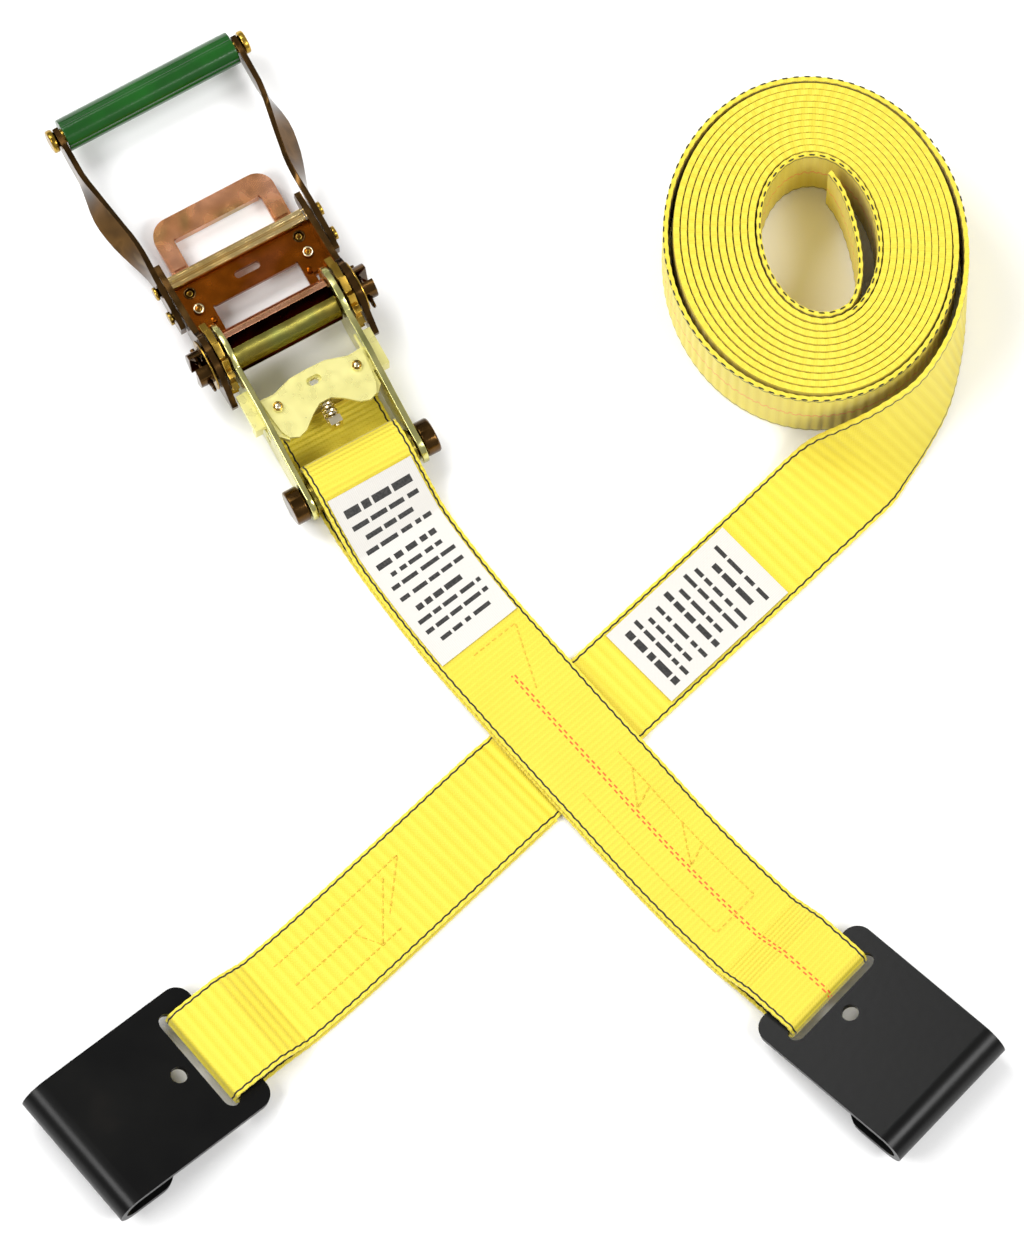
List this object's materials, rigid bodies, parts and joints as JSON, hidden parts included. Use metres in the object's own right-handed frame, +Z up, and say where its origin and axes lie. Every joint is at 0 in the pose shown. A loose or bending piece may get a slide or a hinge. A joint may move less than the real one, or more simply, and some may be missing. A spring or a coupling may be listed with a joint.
{
  "type": "ratchet strap",
  "caption": "Cargo ratchet strap: long-handled ratchet buckle on a short strap, coiled long strap, and a flat hook on each.",
  "frame": {"origin": "middle of the whole part's box, on the floor it lies on", "axes": "+Z up from the floor; +Y from the hooks towards the coil and the handle; +X to the right of the picture"},
  "size_m": [0.4436, 0.5614, 0.0508],
  "materials": {
    "zinc_plate": "pale yellow zinc",
    "bronze_plate": "yellow zinc, bronze tint",
    "copper_plate": "iridescent yellow zinc",
    "bright_steel": "bright zinc",
    "grip_plastic": "glossy dark green",
    "hook_black": "satin black coating",
    "yellow_webbing": "woven polyester",
    "white_label": "woven label"
  },
  "bodies": {
    "long_strap": {"long_webbing": "yellow_webbing", "long_webbing_twist": "yellow_webbing", "webbing_coil": "yellow_webbing", "long_label": "white_label"},
    "long_hook": {"long_hook": "hook_black"},
    "short_strap": {"short_webbing": "yellow_webbing", "short_label": "white_label"},
    "short_hook": {"short_hook": "hook_black"},
    "frame": {"frame_plate_left": "zinc_plate", "frame_plate_right": "zinc_plate", "anchor_bolt": "bronze_plate", "anchor_nut": "bronze_plate", "anchor_sleeve": "bronze_plate", "pawl_spring_seat": "zinc_plate", "frame_pawl_spring": "bright_steel"},
    "frame_pawl": {"frame_pawl": "zinc_plate", "frame_pawl_cover": "zinc_plate", "frame_pawl_rivet_left": "copper_plate", "frame_pawl_rivet_right": "copper_plate", "pawl_guide_rod": "bright_steel"},
    "drum": {"drum_half_front": "bronze_plate", "drum_half_rear": "bronze_plate", "ratchet_wheel_left": "bright_steel", "ratchet_wheel_right": "bright_steel", "drum_washer_left": "zinc_plate", "drum_washer_right": "zinc_plate", "split_pin_left": "bright_steel", "split_pin_right": "bright_steel"},
    "handle": {"handle_frame": "copper_plate", "handle_guide_bar": "copper_plate", "handle_arm_left": "copper_plate", "handle_arm_right": "copper_plate", "arm_rivet_front_left": "bronze_plate", "arm_rivet_front_right": "bronze_plate", "arm_rivet_rear_left": "bronze_plate", "arm_rivet_rear_right": "bronze_plate", "grip_rod": "bronze_plate"},
    "handle_pull": {"handle_pull": "copper_plate"},
    "grip": {"grip": "grip_plastic"}
  },
  "joints": [
    {"name": "long_hook_swing", "type": "hinge", "parent": "long_strap", "child": "long_hook", "pos_m": [-0.13436, -0.19942, 0.00933], "axis": [0.6428, -0.766, 0], "range_deg": [-20, 15]},
    {"name": "short_strap_lift", "type": "slide", "parent": "long_strap", "child": "short_strap", "axis": [0, 0, 1], "range_m": [0, 0.15]},
    {"name": "short_hook_swing", "type": "hinge", "parent": "short_strap", "child": "short_hook", "pos_m": [0.13602, -0.16965, 0.00933], "axis": [0.6839, 0.7295, 0], "range_deg": [-20, 15]},
    {"name": "buckle_swing", "type": "hinge", "parent": "short_strap", "child": "frame", "pos_m": [-0.06958, 0.0704, 0.01203], "axis": [0.8771, 0.4802, 0], "range_deg": [0, 30]},
    {"name": "drum_spin", "type": "hinge", "parent": "frame", "child": "drum", "pos_m": [-0.10632, 0.1375, 0.02003], "axis": [0.8771, 0.4802, 0], "continuous": true},
    {"name": "handle_fold", "type": "hinge", "parent": "frame", "child": "handle", "pos_m": [-0.10632, 0.1375, 0.02003], "axis": [0.8771, 0.4802, 0], "range_deg": [0, 168]},
    {"name": "handle_pull_slide", "type": "slide", "parent": "handle", "child": "handle_pull", "axis": [-0.4802, 0.8771, 0], "range_m": [0, 0.006], "stiffness_N_per_m": 400, "springref_m": -0.004},
    {"name": "frame_pawl_slide", "type": "slide", "parent": "frame", "child": "frame_pawl", "axis": [0.4802, -0.8771, 0], "range_m": [0, 0.005], "stiffness_N_per_m": 400, "springref_m": -0.004, "deforming": ["frame_pawl_spring"]},
    {"name": "grip_spin", "type": "hinge", "parent": "handle", "child": "grip", "pos_m": [-0.1685, 0.25109, 0.01503], "axis": [0.8771, 0.4802, 0], "continuous": true}
  ]
}
